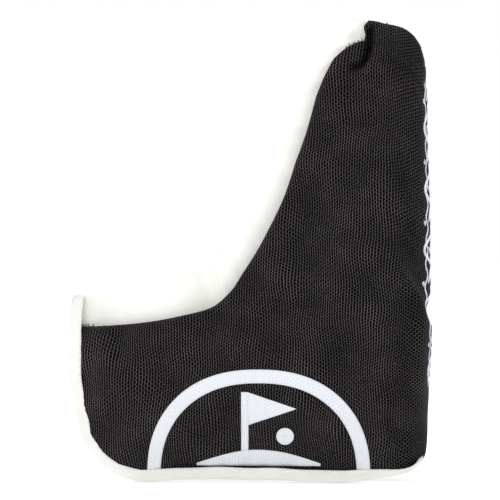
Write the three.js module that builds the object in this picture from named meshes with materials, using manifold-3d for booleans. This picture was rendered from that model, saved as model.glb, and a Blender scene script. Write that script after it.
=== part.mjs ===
// Cover for a blade putter's head: a padded boot of woven cloth. One cloth is folded along the heel side, its
// two halves are bound together along toe and sole, and the L-shaped mouth is closed by a white strip that is
// sewn under the back half and tucks under the front half. The front of the neck is a flap that swings open.
//
// Lengths are in millimetres. X runs from toe (-) to heel (+), Y from front (-) to back (+), Z up. Outlines
// are drawn from the sole's lowest edge, and the finished group is lowered so that its origin lies on the
// floor of the pocket that takes the putter head.
import * as THREE from "three";
import { mergeVertices } from "three/addons/utils/BufferGeometryUtils.js";
import Module from "manifold-3d";

const wasm = await Module();
wasm.setup();

// Depth, measured from the middle plane to the outside of the cloth
const FOOT_HALF = 21.5;
const NECK_HALF = 15.5;
const SEAM_HALF = 3;
const TOP_SHARE = 0.74; // what the elastic leaves of the neck's depth at its top

// How far each round or slope reaches in from its edge
const CREST_ROUND = 18;
const STRIP_ROUND = 12;
const SPINE_ROUND = 16;
const SOLE_SLOPE = 38;
const TOE_SLOPE = 45;
const SPINE_BUNCH = 1.61; // the layers bunch up where they fold at the spine

// Layers, each with a small air gap to the next
const GAP = 0.42;
const CLOTH = 1;
const FOAM = 2.4;
const FLEECE = 1.4;
const STRIP_FLEECE = 1.3;
const TAPE = 1.2;
const FILM = 0.4;
const STACK = CLOTH + GAP + FOAM + GAP + FLEECE;

// The neck flap: where it parts from the rest, and its hinge line on the surface of the cloth
const FLAP_BOTTOM = 78;
const HINGE_X = 54;

const POCKET_FLOOR = 7;
const BINDING_WIDTH = 5.2;
const BINDING_TOP = 74.6;
const STRIP_TUCK = 30; // how far the strip reaches in from its crest, at most, under the front half
const STRIP_SEWN = 19; // and under the back half
const STRIP_DROP = 0.9; // extra room between the strip and the fleece over it
const DISC_RADIUS = 6;
const EDGE_GRID = 0.15; // keeps the two sides of a rounded edge a hair apart, so that every ring is open

// Rays across the cover from the crest of the mouth to the outer edge: toe, sole, heel and up the spine
const CREST = [
  [-69.6, 73.2],
  [-60, 73.8],
  [-48, 74.8],
  [-38, 77.2],
  [-27, 80.8],
  [-17.5, 82.6],
  [-12.6, 86.5],
  [-10.5, 93.5],
  [-6.8, 101],
  [-2.2, 109.8],
  [3.1, 120.4],
  [7, 130],
  [11, 141],
  [16.5, 152.5],
  [27.5, 168],
  [40.6, 180.2],
];
const OUTER = [
  [-65.4, 15.5],
  [-57.5, 6.2],
  [-46.5, 0.9],
  [-34, 0.3],
  [-14, 1.4],
  [8, 0.9],
  [30, 0.3],
  [50, 1.8],
  [66.2, 7.5],
  [69.2, 30],
  [69.9, 70],
  [69.6, 105],
  [68.7, 135],
  [68, 155],
  [67.6, 160],
  [66.8, 165.5],
];
// Width of the white band on each ray, from the crest to the edge of the cloth
const BAND = [12.6, 12.6, 12.6, 13.8, 15.3, 13.9, 13, 15, 15.6, 15.3, 14, 12.4, 12.5, 11.1, 8.4, 4.5];
const HEEL_RAY = 8;
const LAST_RAY = CREST.length - 1;
const TOE_EDGE = [
  [-69.6, 73.2],
  [-70.3, 60],
  [-70.2, 48],
  [-69.6, 37],
  [-67.6, 26],
  [-65.4, 15.5],
];
const TOP_EDGE = [
  [40.6, 180.2],
  [46, 178.8],
  [53, 177.6],
  [60, 175.8],
  [64.5, 172],
  [66.8, 165.5],
];
const RAY_SPACING = 9.7; // distance between the first rays, which turns an inset at the toe into rays

const RINGS = 24;
const STEPS = 11;
const FAR = 120;

// ---- Curves and the shape of the cover ----

const clamp01 = (t) => Math.min(Math.max(t, 0), 1);
const mix = (a, b, t) => a + (b - a) * t;

function smooth(from, to, t) {
  const s = clamp01((t - from) / (to - from));
  return s * s * (3 - 2 * s);
}

// A smooth curve through points at equal steps of t from 0 to 1, carried straight on past its ends.
function through(points, t) {
  const last = points.length - 1;
  const at = clamp01(t) * last;
  const i = Math.min(Math.floor(at), last - 1);
  const f = at - i;
  const slope = (k) => {
    const a = Math.max(k - 1, 0);
    const b = Math.min(k + 1, last);
    return points[k].map((_, c) => (points[b][c] - points[a][c]) / (b - a));
  };
  const [p, q, m, n] = [points[i], points[i + 1], slope(i), slope(i + 1)];
  const past = (t - clamp01(t)) * last;
  return p.map((_, c) => {
    const on = (1 + 2 * f) * (1 - f) ** 2 * p[c] + f * (1 - f) ** 2 * m[c];
    const off = f * f * (3 - 2 * f) * q[c] - f * f * (1 - f) * n[c];
    return on + off + past * (past < 0 ? m[c] : n[c]);
  });
}

const crestAt = (u) => through(CREST, u);
const outerAt = (u) => through(OUTER, u);
const bandAt = (u) => through(BAND.map((w) => [w]), clamp01(u))[0];

function rayLength(u) {
  const [a, b] = [crestAt(u), outerAt(u)];
  return Math.hypot(b[0] - a[0], b[1] - a[1]);
}

// The point at share v of the way along ray u, on a patch whose ends are the toe edge and the top edge.
function patch(u, v) {
  const [a, b, toe, top] = [crestAt(u), outerAt(u), through(TOE_EDGE, v), through(TOP_EDGE, v)];
  const ends = [CREST[0], OUTER[0], CREST[LAST_RAY], OUTER[LAST_RAY]];
  return [0, 1].map(
    (c) =>
      mix(a[c], b[c], v) +
      (1 - u) * (toe[c] - mix(ends[0][c], ends[1][c], v)) +
      u * (top[c] - mix(ends[2][c], ends[3][c], v)),
  );
}

// A quarter ellipse: 0 at the edge, 1 from reach inwards.
const rise = (d, reach) => Math.sqrt(1 - (1 - clamp01(d / reach)) ** 2);
const slopeUp = (d, reach) => Math.sin((Math.PI / 2) * clamp01(d / reach));

function soleAt(x) {
  const corner = clamp01((-46 - x) / 22);
  return 0.8 + 28 * (1 - Math.sqrt(1 - corner * corner)) + 7 * smooth(50, 68, x);
}

function spineAt(z) {
  const line = OUTER.slice(HEEL_RAY);
  const i = Math.min(Math.max(line.findIndex((p) => p[1] > z), 1), line.length - 1);
  const at = z > line[line.length - 1][1] ? 1 : clamp01((z - line[i - 1][1]) / (line[i][1] - line[i - 1][1]));
  return mix(line[i - 1][0], line[i][0], at) + 0.1;
}

// Half the depth of the cloth's outside, before the mouth and the spine round it off.
function bodyHalf(x, z) {
  const full = NECK_HALF + (FOOT_HALF - NECK_HALF) * (1 - smooth(32, FLAP_BOTTOM, z));
  const gathered = full * mix(1, TOP_SHARE, smooth(160, 182, z));
  const sole = slopeUp(z - soleAt(x), SOLE_SLOPE);
  const toe = slopeUp(x - TOE_EDGE[1][0], TOE_SLOPE);
  return SEAM_HALF + (gathered - SEAM_HALF) * sole * toe;
}

// Half the depth of a level, which lies off under the cloth's outside and at least floor from the middle.
function halfDepth(level, u, x, z, fromCrest) {
  const body = Math.max(bodyHalf(x, z) - level.off, level.floor ?? 0.3);
  const round = level.round * Math.min(bandAt(u) / BAND[0], 1); // rounder where the band is narrow
  const fromSpine = spineAt(z) - level.spine - x;
  const crest = rise(Math.max(fromCrest - level.crest, 0) + EDGE_GRID, Math.max(round - level.crest, 0.8));
  const spine = rise(Math.max(fromSpine, 0) + EDGE_GRID, SPINE_ROUND - level.spine);
  return body * crest * spine;
}

// ---- Solids ----

function solidOf(geometry) {
  const bare = geometry.index ? geometry.toNonIndexed() : geometry.clone();
  bare.deleteAttribute("normal");
  bare.deleteAttribute("uv");
  const merged = mergeVertices(bare, 1e-3);
  const triVerts = new Uint32Array(merged.index.array);
  const vertProperties = new Float32Array(merged.attributes.position.array);
  return new wasm.Manifold(new wasm.Mesh({ numProp: 3, vertProperties, triVerts }));
}

function geometryOf(solid) {
  const { vertProperties, triVerts } = solid.getMesh();
  return new THREE.BufferGeometry()
    .setAttribute("position", new THREE.BufferAttribute(new Float32Array(vertProperties), 3))
    .setIndex(new THREE.BufferAttribute(new Uint32Array(triVerts), 1));
}

// Ray shares of the rings from u0 to u1. All levels share them, so that their facets lie side by side.
function stations(u0, u1) {
  const inside = Array.from({ length: RINGS + 1 }, (_, i) => i / RINGS);
  return [u0, ...inside.filter((u) => u > u0 + 0.004 && u < u1 - 0.004), u1];
}

// A closed pillow: rings round the cover at one level, from ray share u0 at the toe to u1 at the top.
function pillow(level, u0, u1) {
  const positions = [];
  const rings = stations(u0, u1);
  for (const u of rings) {
    const length = rayLength(u);
    const [a, b] = [crestAt(u), outerAt(u)];
    const spineSide = smooth(HEEL_RAY - 1, HEEL_RAY + 1, u * LAST_RAY);
    const upright = Math.max(Math.abs(a[1] - b[1]) / length, 0.5);
    const across = Math.max((b[0] - a[0]) / length, 0.5);
    const inset = mix(level.seam / upright, level.spine / across, spineSide);
    const ring = [];
    for (let j = 0; j <= STEPS; j++) {
      const share = (1 - Math.cos((Math.PI * j) / STEPS)) / 2;
      const d = mix(level.crest, length - inset, share);
      const [x, z] = patch(u, d / length);
      ring.push([x, halfDepth(level, u, x, z, d), z]);
    }
    const front = ring.map(([x, y, z]) => [x, -y, z]);
    positions.push([...front, ...ring.reverse()]);
  }
  const around = positions[0].length;
  const index = [];
  for (let i = 0; i < rings.length - 1; i++)
    for (let j = 0; j < around; j++) {
      const [a, b] = [i * around + j, i * around + ((j + 1) % around)];
      index.push(a, b, a + around, b, b + around, a + around);
    }
  for (let j = 0; j < STEPS; j++) {
    // the flat ends run straight across from front to back
    const [f, g] = [j, j + 1];
    const [k, h] = [around - 1 - j, around - 2 - j];
    const end = (rings.length - 1) * around;
    index.push(f, k, g, g, k, h);
    index.push(end + f, end + g, end + k, end + g, end + h, end + k);
  }
  const geometry = new THREE.BufferGeometry()
    .setAttribute("position", new THREE.Float32BufferAttribute(positions.flat(2), 3))
    .setIndex(index);
  return solidOf(geometry);
}

// A straight block whose outline is drawn in X and Z and which runs from y0 to y1.
function prism(outline, y0, y1) {
  const shape = new THREE.Shape(outline.map(([x, z]) => new THREE.Vector2(x, z)));
  const geometry = new THREE.ExtrudeGeometry(shape, { depth: y1 - y0, bevelEnabled: false, steps: 1 });
  return solidOf(geometry.rotateX(Math.PI / 2).translate(0, y1, 0));
}

const rectangle = (x0, z0, x1, z1) => [
  [x0, z0],
  [x1, z0],
  [x1, z1],
  [x0, z1],
];

// A level of the padded cloth, and one of the white strip
const clothLevel = (off, seam, floor) => ({
  off,
  seam,
  floor,
  crest: off,
  spine: off * SPINE_BUNCH,
  round: CREST_ROUND,
});
const stripLevel = (depth, floor) => ({
  off: STACK + GAP + STRIP_DROP + depth,
  seam: 2 + depth,
  floor,
  crest: depth,
  spine: STACK * SPINE_BUNCH + depth,
  round: STRIP_ROUND,
});

const atToe = (inset) => inset / (RAY_SPACING * LAST_RAY);

// What lies between two levels. The inner one runs past the outer one's ends where the layer is open there.
function layer(outer, inner, { toe = outer.seam, innerToe = inner.seam, top = 1, innerTop = 1.05 } = {}) {
  return pillow(outer, atToe(toe), top).subtract(pillow(inner, atToe(innerToe), innerTop));
}

// Everything on the cloth's side of the mouth, drawn inset millimetres inside the edge of the cloth.
function clothSide(inset) {
  const edge = stations(-0.02, 1.02).map((u) => patch(u, (bandAt(u) + inset) / rayLength(u)));
  const [first, last] = [edge[0], edge[edge.length - 1]];
  const outside = [
    [last[0] + 3, FAR * 2],
    [FAR, FAR * 2],
    [FAR, -FAR],
    [-FAR, -FAR],
    [-FAR, first[1]],
  ];
  return prism([...edge, ...outside], -FAR, FAR);
}

// The block that the flap is cut with, and the slightly larger one that is taken out of the rest.
const flapBlock = (gap) =>
  prism(rectangle(-FAR, FLAP_BOTTOM + gap, HINGE_X - gap, FAR * 2), -FAR, 0);
const FLAP = flapBlock(GAP / 2);
const FLAP_SPACE = flapBlock(-GAP / 2);

const SPINE_BLOCK = prism(rectangle(HINGE_X + GAP / 2, -FAR, FAR, FAR * 2), -FAR, FAR);
const REST_BLOCK = prism(rectangle(-FAR, -FAR, HINGE_X - GAP / 2, FAR * 2), -FAR, FAR);
const BACK_BLOCK = prism(rectangle(-FAR, -FAR, FAR, FAR * 2), GAP / 2, FAR);
const FRONT_BLOCK = prism(rectangle(-FAR, -FAR, FAR, FAR * 2), -FAR, -GAP / 2);

// ---- The layers of the padded cloth ----

const LEVEL = {
  filmOut: clothLevel(-GAP - FILM, 0.6),
  filmIn: clothLevel(-GAP, 1.1),
  tapeOut: { ...clothLevel(-GAP - TAPE, 0), spine: -TAPE },
  tapeIn: { ...clothLevel(-GAP, TAPE), spine: -GAP / 2 },
  clothOut: clothLevel(0, TAPE + GAP),
  clothIn: clothLevel(CLOTH, TAPE / 2),
  foamOut: clothLevel(CLOTH + GAP, TAPE + GAP),
  foamIn: clothLevel(CLOTH + GAP + FOAM, 6, 1.2),
  fleeceOut: clothLevel(STACK - FLEECE, 6.3, 0.9),
  fleeceIn: clothLevel(STACK, 7.5, 0.3),
  elasticOut: clothLevel(CLOTH + 2 * GAP, 6),
  elasticIn: clothLevel(CLOTH + 2 * GAP + 1.6, 6.5),
};
const PAD_TOP = 0.962;
const ELASTIC_SPAN = [0.97, 0.988];
const LINING_TOP = 0.988;

const cloth = layer(LEVEL.clothOut, LEVEL.clothIn).intersect(clothSide(0));
const foam = layer(LEVEL.foamOut, LEVEL.foamIn, { top: PAD_TOP }).intersect(clothSide(1.5));
const fleece = layer(LEVEL.fleeceOut, LEVEL.fleeceIn, { top: LINING_TOP }).intersect(clothSide(1));

function elasticRing() {
  const [from, to] = ELASTIC_SPAN;
  const ring = pillow(LEVEL.elasticOut, from, to).subtract(pillow(LEVEL.elasticIn, from - 0.02, to + 0.02));
  return ring.intersect(clothSide(3));
}

// ---- The white strip that closes the mouth ----

// Everything within reach millimetres of the crest, and within half of each ray where the cover is narrow.
function nearCrest(reach, y0, y1) {
  const share = (u) => Math.min(reach / rayLength(u), reach / (2 * STRIP_TUCK));
  const line = stations(-0.02, 1.02).map((u) => patch(u, share(u)));
  const last = line[line.length - 1];
  const outside = [
    [last[0] + 1, FAR * 2],
    [-FAR, FAR * 2],
    [-FAR, line[0][1]],
  ];
  return prism([...line, ...outside], y0, y1);
}

// The strip ends in the toe binding where it shows, and short of the seam where it is tucked in.
const TUCK_START = [-56, 59.8];
const TUCKED_TOE = prism(rectangle(-FAR, -FAR, ...TUCK_START), -FAR, FAR);

function stripLayer(outer, inner, ends) {
  const whole = layer(outer, inner, ends);
  const front = whole.intersect(nearCrest(STRIP_TUCK, -FAR, 0));
  const back = whole.intersect(nearCrest(STRIP_SEWN, 0, FAR));
  return front.add(back).subtract(TUCKED_TOE);
}

const strip = stripLayer(stripLevel(0, 2.3), stripLevel(TAPE, 1.2), { top: 0.985 });
const stripFleece = stripLayer(
  stripLevel(TAPE + GAP, 0.9),
  stripLevel(TAPE + GAP + STRIP_FLEECE, 0.3),
  { toe: 13, innerToe: 15, top: 0.98 },
);

// ---- Magnets and the steel discs that they hold ----

// A disc lying in a level of the front side, centred on ray share u at a distance from the crest.
function discAt(level, u, fromCrest, radius, thickness, sink) {
  const length = rayLength(u);
  const [x, z] = patch(u, fromCrest / length);
  const depth = (dx, dz) => halfDepth(level, u, x + dx, z + dz, fromCrest);
  const normal = new THREE.Vector3(depth(-1, 0) - depth(1, 0), -2, depth(0, -1) - depth(0, 1)).normalize();
  const turn = new THREE.Quaternion().setFromUnitVectors(new THREE.Vector3(0, -1, 0), normal);
  const middle = new THREE.Vector3(x, -depth(0, 0), z).addScaledVector(normal, -sink - thickness / 2);
  return new THREE.CylinderGeometry(radius, radius, thickness, 16).applyQuaternion(turn).translate(...middle);
}

const DISCS = [
  { name: "neck_upper", u: 11.8 / LAST_RAY, fromCrest: 20.5 },
  { name: "neck_lower", u: 10.2 / LAST_RAY, fromCrest: 22 },
  { name: "foot", u: 3.4 / LAST_RAY, fromCrest: 22.5 },
];
const PADS_DISC = { thickness: 2, sink: 0.25 };
const STRIPS_DISC = { thickness: 1.1, sink: 0.1 };

function holeFor(level, disc, spread) {
  return solidOf(discAt(level, disc.u, disc.fromCrest, DISC_RADIUS + GAP, 2 * spread, -spread));
}

// ---- Binding, emblem and embroidery ----

// The tape runs down the toe, round the corner and along the sole, and ends a little way up the heel.
function edgeBinding() {
  const [corner, heel] = [0.055, (HEEL_RAY + 0.35) / LAST_RAY];
  const inner = [];
  for (let i = 0; i <= 12; i++) inner.push(patch(atToe(BINDING_WIDTH + 1), mix(-0.1, 0.88, i / 12)));
  for (let i = 0; i <= 24; i++) {
    const u = mix(corner, heel, i / 24);
    inner.push(patch(u, 1 - (BINDING_WIDTH + 0.6) / rayLength(u)));
  }
  const outside = [
    [FAR, inner[inner.length - 1][1]],
    [FAR, -FAR],
    [-FAR, -FAR],
    [-FAR, inner[0][1]],
  ];
  const open = { toe: 0, innerToe: TAPE };
  return layer(LEVEL.tapeOut, LEVEL.tapeIn, { ...open, innerTop: 1 })
    .intersect(prism([...inner, ...outside], -FAR, FAR))
    .subtract(prism(rectangle(-FAR, BINDING_TOP, FAR, FAR * 2), -FAR, FAR));
}

const film = layer(LEVEL.filmOut, LEVEL.filmIn);
const EMBLEM = { x: 3.1, z: 1.9, radius: 43, band: 5.2, floor: 7.6 };

function circle(x, z, radius, steps) {
  return Array.from({ length: steps }, (_, i) => {
    const a = (2 * Math.PI * i) / steps;
    return [x + radius * Math.cos(a), z + radius * Math.sin(a)];
  });
}

const UNDER_EMBLEM = prism(rectangle(-FAR, -FAR, FAR, EMBLEM.floor), -FAR, FAR);
const onFront = (outline) => film.intersect(prism(outline, -FAR, 0)).subtract(UNDER_EMBLEM);

function emblemRing() {
  const outer = onFront(circle(EMBLEM.x, EMBLEM.z, EMBLEM.radius, 56));
  return outer.subtract(prism(circle(EMBLEM.x, EMBLEM.z, EMBLEM.radius - EMBLEM.band, 56), -FAR, FAR));
}

// A golf flag on a low mound.
function emblemFlag() {
  const [left, right, foot, height] = [EMBLEM.x - 24, EMBLEM.x + 24, 7, 6.5];
  const mound = Array.from({ length: 17 }, (_, i) => {
    const t = i / 16;
    return [mix(left, right, t), foot + 1 + (height - 1) * Math.sin(Math.PI * t)];
  });
  const green = onFront([[right, foot], [left, foot], ...mound].reverse());
  const pole = rectangle(-3.4, 9, -0.6, 36.5);
  const pennant = [
    [-1, 36.5],
    [17.5, 30],
    [-1, 23.5],
  ];
  return green.add(onFront(pole)).add(onFront(pennant));
}

const emblemBall = () => onFront(circle(13.5, 19, 3.4, 20));

// A wavy ribbon of satin stitch up the spine, drawn in Y and Z and cut from the film that covers the spine.
function spineEmbroidery() {
  const [bottom, top, sway, width] = [38, 155, 7.5, 2.4];
  const waves = 5;
  const side = (shift) =>
    Array.from({ length: 61 }, (_, i) => {
      const t = i / 60;
      return [sway * Math.sin(2 * Math.PI * waves * t) + shift, mix(bottom, top, t)];
    });
  const outline = [...side(width / 2), ...side(-width / 2).reverse()];
  const shape = new THREE.Shape(outline.map(([y, z]) => new THREE.Vector2(y, z)));
  const block = new THREE.ExtrudeGeometry(shape, { depth: 40, bevelEnabled: false, steps: 1 });
  block.rotateX(Math.PI / 2).rotateZ(Math.PI / 2).translate(50, 0, 0);
  return film.intersect(solidOf(block));
}

// ---- The assembly ----

const LOOK = {
  cloth: new THREE.MeshStandardMaterial({ color: 0x232021, roughness: 0.95, metalness: 0 }),
  foam: new THREE.MeshStandardMaterial({ color: 0x4a4a4c, roughness: 1, metalness: 0 }),
  fleece: new THREE.MeshStandardMaterial({ color: 0x3a3838, roughness: 1, metalness: 0 }),
  white: new THREE.MeshStandardMaterial({ color: 0xf8f8f4, roughness: 0.55, metalness: 0 }),
  elastic: new THREE.MeshStandardMaterial({ color: 0x2c2c2e, roughness: 0.9, metalness: 0 }),
  magnet: new THREE.MeshStandardMaterial({ color: 0xb8babd, roughness: 0.35, metalness: 1 }),
  print: new THREE.MeshStandardMaterial({ color: 0xe8edf2, roughness: 0.6, metalness: 0 }),
  thread: new THREE.MeshStandardMaterial({ color: 0xe8e4f5, roughness: 0.5, metalness: 0 }),
};

const cover = new THREE.Group();
cover.position.z = -POCKET_FLOOR;

function addPiece(name, geometry, material) {
  const mesh = new THREE.Mesh(geometry, material);
  mesh.name = name;
  cover.add(mesh);
}
const addSolid = (name, solid, material) => addPiece(name, geometryOf(solid), material);

// The foam, with a round hole for each magnet
const neckDiscs = DISCS.filter((disc) => disc.name !== "foot");
const drilled = (solid, level, discs) =>
  discs.reduce((rest, disc) => rest.subtract(holeFor(level, disc, FOAM + 1)), solid);
const foamRest = drilled(foam, LEVEL.foamOut, DISCS.slice(2)).subtract(FLAP_SPACE);

addSolid("outer_cloth", cloth.subtract(FLAP_SPACE), LOOK.cloth);
addSolid("back_pad", foamRest.intersect(BACK_BLOCK).intersect(REST_BLOCK), LOOK.foam);
addSolid("spine_pad", foamRest.intersect(SPINE_BLOCK), LOOK.foam);
addSolid("front_foot_pad", foamRest.intersect(FRONT_BLOCK).intersect(REST_BLOCK), LOOK.foam);
addSolid("fleece_lining", fleece.subtract(FLAP_SPACE), LOOK.fleece);
addSolid("edge_binding", edgeBinding(), LOOK.white);
addSolid("closing_strip", strip, LOOK.white);
addSolid("closing_strip_lining", drilled(stripFleece, stripLevel(TAPE + GAP), DISCS), LOOK.fleece);
addSolid("neck_elastic", elasticRing().subtract(FLAP_SPACE), LOOK.elastic);
addSolid("flap_cloth", cloth.intersect(FLAP), LOOK.cloth);
addSolid("flap_pad", drilled(foam, LEVEL.foamOut, neckDiscs).intersect(FLAP), LOOK.foam);
addSolid("flap_lining", fleece.intersect(FLAP), LOOK.fleece);
addSolid("flap_elastic", elasticRing().intersect(FLAP), LOOK.elastic);

for (const disc of DISCS) {
  const { u, fromCrest } = disc;
  const magnet = discAt(LEVEL.foamOut, u, fromCrest, DISC_RADIUS, PADS_DISC.thickness, PADS_DISC.sink);
  addPiece("magnet_" + disc.name, magnet, LOOK.magnet);
  const inStrip = stripLevel(TAPE + GAP);
  const steel = discAt(inStrip, u, fromCrest, DISC_RADIUS, STRIPS_DISC.thickness, STRIPS_DISC.sink);
  addPiece("steel_disc_" + disc.name, steel, LOOK.magnet);
}

addSolid("emblem_ring", emblemRing(), LOOK.print);
addSolid("emblem_flag", emblemFlag(), LOOK.print);
addSolid("emblem_ball", emblemBall(), LOOK.print);
addSolid("spine_embroidery", spineEmbroidery(), LOOK.thread);

export default cover;
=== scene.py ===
"""Looks of a padded putter head cover, built round its CAD frame: woven cloth over foam and fleece, a white
closing strip, edge binding, a printed emblem and embroidery. Shapes are drawn in millimetres, as the CAD part
draws them, from the sole's lowest edge; to_frame() turns them into the frame's metres."""

import math

import bmesh
import bpy
import numpy as np
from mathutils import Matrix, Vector
from mathutils.bvhtree import BVHTree


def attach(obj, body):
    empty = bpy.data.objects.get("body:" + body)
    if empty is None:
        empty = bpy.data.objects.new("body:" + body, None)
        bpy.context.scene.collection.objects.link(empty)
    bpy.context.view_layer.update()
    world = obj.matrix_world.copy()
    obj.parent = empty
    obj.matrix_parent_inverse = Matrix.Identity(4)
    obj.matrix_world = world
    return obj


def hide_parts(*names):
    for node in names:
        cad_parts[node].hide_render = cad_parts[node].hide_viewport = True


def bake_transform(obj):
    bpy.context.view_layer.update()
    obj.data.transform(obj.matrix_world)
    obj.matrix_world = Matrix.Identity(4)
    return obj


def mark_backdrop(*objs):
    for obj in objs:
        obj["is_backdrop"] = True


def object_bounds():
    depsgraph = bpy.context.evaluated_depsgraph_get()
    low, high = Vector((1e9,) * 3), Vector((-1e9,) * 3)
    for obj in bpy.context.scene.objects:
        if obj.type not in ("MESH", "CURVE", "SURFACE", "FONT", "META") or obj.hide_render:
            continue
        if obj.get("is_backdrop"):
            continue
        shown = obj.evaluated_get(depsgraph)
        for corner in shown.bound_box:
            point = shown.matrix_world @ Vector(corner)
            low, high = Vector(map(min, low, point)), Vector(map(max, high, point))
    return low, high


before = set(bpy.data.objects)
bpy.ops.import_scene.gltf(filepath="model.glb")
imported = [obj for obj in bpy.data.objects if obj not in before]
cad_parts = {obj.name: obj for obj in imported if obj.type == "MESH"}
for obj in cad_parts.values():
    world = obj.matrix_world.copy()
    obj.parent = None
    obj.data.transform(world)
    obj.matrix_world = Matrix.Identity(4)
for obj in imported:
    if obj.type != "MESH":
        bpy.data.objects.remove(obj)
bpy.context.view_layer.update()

MM = 0.001
FRONT, BACK = -1, 1
RANDOM = np.random.default_rng(7)

# ---- The cover's outlines, as the CAD part draws them, a little fuller at the top of the neck ----

POCKET_FLOOR = 7
FOOT_HALF, NECK_HALF, SEAM_HALF = 21.5, 15.5, 3
TOP_SHARE = 0.74
CREST_ROUND, STRIP_ROUND, SPINE_ROUND = 18, 12, 16
SOLE_SLOPE, TOE_SLOPE = 38, 45
FLAP_BOTTOM = 78
HINGE_X = 54
HEEL_RAY = 8
CREST = [
    (-69.6, 73.2), (-60, 73.8), (-48, 74.8), (-38, 77.2), (-27, 80.8), (-17.5, 82.6), (-12.6, 86.5),
    (-10.5, 93.5), (-6.8, 101), (-2.2, 109.8), (3.1, 120.4), (7, 130), (11, 141), (16.5, 152.5),
    (27.5, 168), (40.6, 180.2),
]
OUTER = [
    (-65.4, 15.5), (-57.5, 6.2), (-46.5, 0.9), (-34, 0.3), (-14, 1.4), (8, 0.9), (30, 0.3), (50, 1.8),
    (66.2, 7.5), (69.2, 30), (69.9, 70), (69.6, 105), (68.7, 135), (68.2, 155), (68, 160), (67.4, 166.3),
]
TOE_EDGE = [(-69.6, 73.2), (-70.3, 60), (-70.2, 48), (-69.6, 37), (-67.6, 26), (-65.4, 15.5)]
TOP_EDGE = [(40.6, 180.2), (46, 178.9), (53, 177.9), (60, 176.6), (65.2, 173.1), (67.4, 166.3)]
BAND = [12.6, 12.6, 12.6, 13.8, 15.3, 13.9, 13, 15, 15.6, 15.3, 14, 12.4, 12.5, 11.1, 8.4, 4.5]
LAST_RAY = len(CREST) - 1
HEEL = HEEL_RAY / LAST_RAY
RAY_SPACING = 9.7

# ---- Sizes of the sewn layers ----

THICK = 5.6  # cloth, foam and fleece together
EDGE_ROLL = THICK / 2  # radius of the turned edges
HEM = 10  # how far the hem reaches down inside the neck
CLOTH = 0.8
PILE = 1.1
STRIP_THICK = 1.3
BINDING = 5.2
SEAM_INSET = 1.6  # the cloth ends this far inside the binding's outer edge
TUCK, SEWN = 30, 19  # how far the strip reaches in from its crest, in front and behind


def smooth(start, end, t):
    s = np.clip((np.asarray(t, float) - start) / (end - start), 0, 1)
    return s * s * (3 - 2 * s)


def mix(a, b, t):
    return a + (b - a) * t


def through(points, t):
    """A smooth curve through points at equal steps of t from 0 to 1, carried straight on past its ends."""
    points = np.asarray(points, float)
    flat = points.reshape(len(points), -1)
    slope = np.gradient(flat, axis=0)
    last = len(flat) - 1
    t = np.asarray(t, float)
    inside = np.clip(t, 0, 1)
    i = np.minimum((inside * last).astype(int), last - 1)
    f = (inside * last - i)[..., None]
    p, q, m, n = flat[i], flat[i + 1], slope[i], slope[i + 1]
    curve = (1 + 2 * f) * (1 - f) ** 2 * p + f * (1 - f) ** 2 * m
    curve = curve + f * f * (3 - 2 * f) * q - f * f * (1 - f) * n
    past = ((t - inside) * last)[..., None]
    curve = curve + past * np.where(past < 0, m, n)
    return curve.reshape(t.shape + points.shape[1:])


def patch(u, v):
    """The point (x, z) at share v of the way along ray u, between the crest and the outer edge."""
    u, v = np.broadcast_arrays(np.asarray(u, float), np.asarray(v, float))
    ends = [np.array(p, float) for p in (CREST[0], OUTER[0], CREST[-1], OUTER[-1])]
    toe, top = through(TOE_EDGE, v), through(TOP_EDGE, v)
    across, along = v[..., None], u[..., None]
    middle = mix(through(CREST, u), through(OUTER, u), across)
    toe_shift = toe - mix(ends[0], ends[1], across)
    top_shift = top - mix(ends[2], ends[3], across)
    return middle + (1 - along) * toe_shift + along * top_shift


def travelled(line):
    """Distance from the start of a line to each of its points."""
    return np.concatenate([[0], np.cumsum(np.linalg.norm(np.diff(line, axis=0), axis=1))])


def sampled(marks, along, field):
    """A field given at distances along a line, read off at marks."""
    return np.stack([np.interp(marks, along, column) for column in field.T], axis=1)


def ray_length(u):
    return np.linalg.norm(through(OUTER, u) - through(CREST, u), axis=-1)


def rise(distance, reach):
    """A quarter ellipse: 0 at the edge, 1 from reach inwards."""
    return np.sqrt(1 - (1 - np.clip(distance / reach, 0, 1)) ** 2)


def slope_up(distance, reach):
    return np.sin(math.pi / 2 * np.clip(distance / reach, 0, 1))


def sole_at(x):
    corner = np.clip((-46 - x) / 22, 0, 1)
    return 0.8 + 28 * (1 - np.sqrt(1 - corner**2)) + 7 * smooth(50, 68, x)


def narrowed(radius, u):
    """The radius of a rounded edge, smaller where the white band is too narrow for it."""
    return np.maximum(radius * np.minimum(through(BAND, np.clip(u, 0, 1)) / BAND[0], 1), 0.8)


def body_half(x, z):
    """Half the depth of the cover before the mouth and the spine round it off."""
    full = mix(FOOT_HALF, NECK_HALF, smooth(32, FLAP_BOTTOM, z))
    gathered = full * mix(1, TOP_SHARE, smooth(160, 182, z))
    slopes = slope_up(z - sole_at(x), SOLE_SLOPE) * slope_up(x - TOE_EDGE[1][0], TOE_SLOPE)
    return SEAM_HALF + (gathered - SEAM_HALF) * slopes


def spine_at(z):
    line = np.array(OUTER[HEEL_RAY:])
    return np.interp(z, line[:, 1], line[:, 0]) + 0.1


def to_frame(points):
    return (np.asarray(points, float) - (0, 0, POCKET_FLOOR)) * MM


def unit(vectors):
    return vectors / np.maximum(np.linalg.norm(vectors, axis=-1, keepdims=True), 1e-9)


def direction(turn, height):
    """The way from the object to a viewer who has walked turn degrees round it from the front."""
    turn, height = math.radians(turn), math.radians(height)
    return Vector((math.sin(turn) * math.cos(height), -math.cos(turn) * math.cos(height), math.sin(height)))


# ---- Meshes ----


def grid_quads(rows, cols, first=0):
    i, j = np.meshgrid(np.arange(rows - 1), np.arange(cols - 1), indexing="ij")
    corner = (first + i * cols + j).ravel()
    return np.stack([corner, corner + 1, corner + cols + 1, corner + cols], axis=1)


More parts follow.
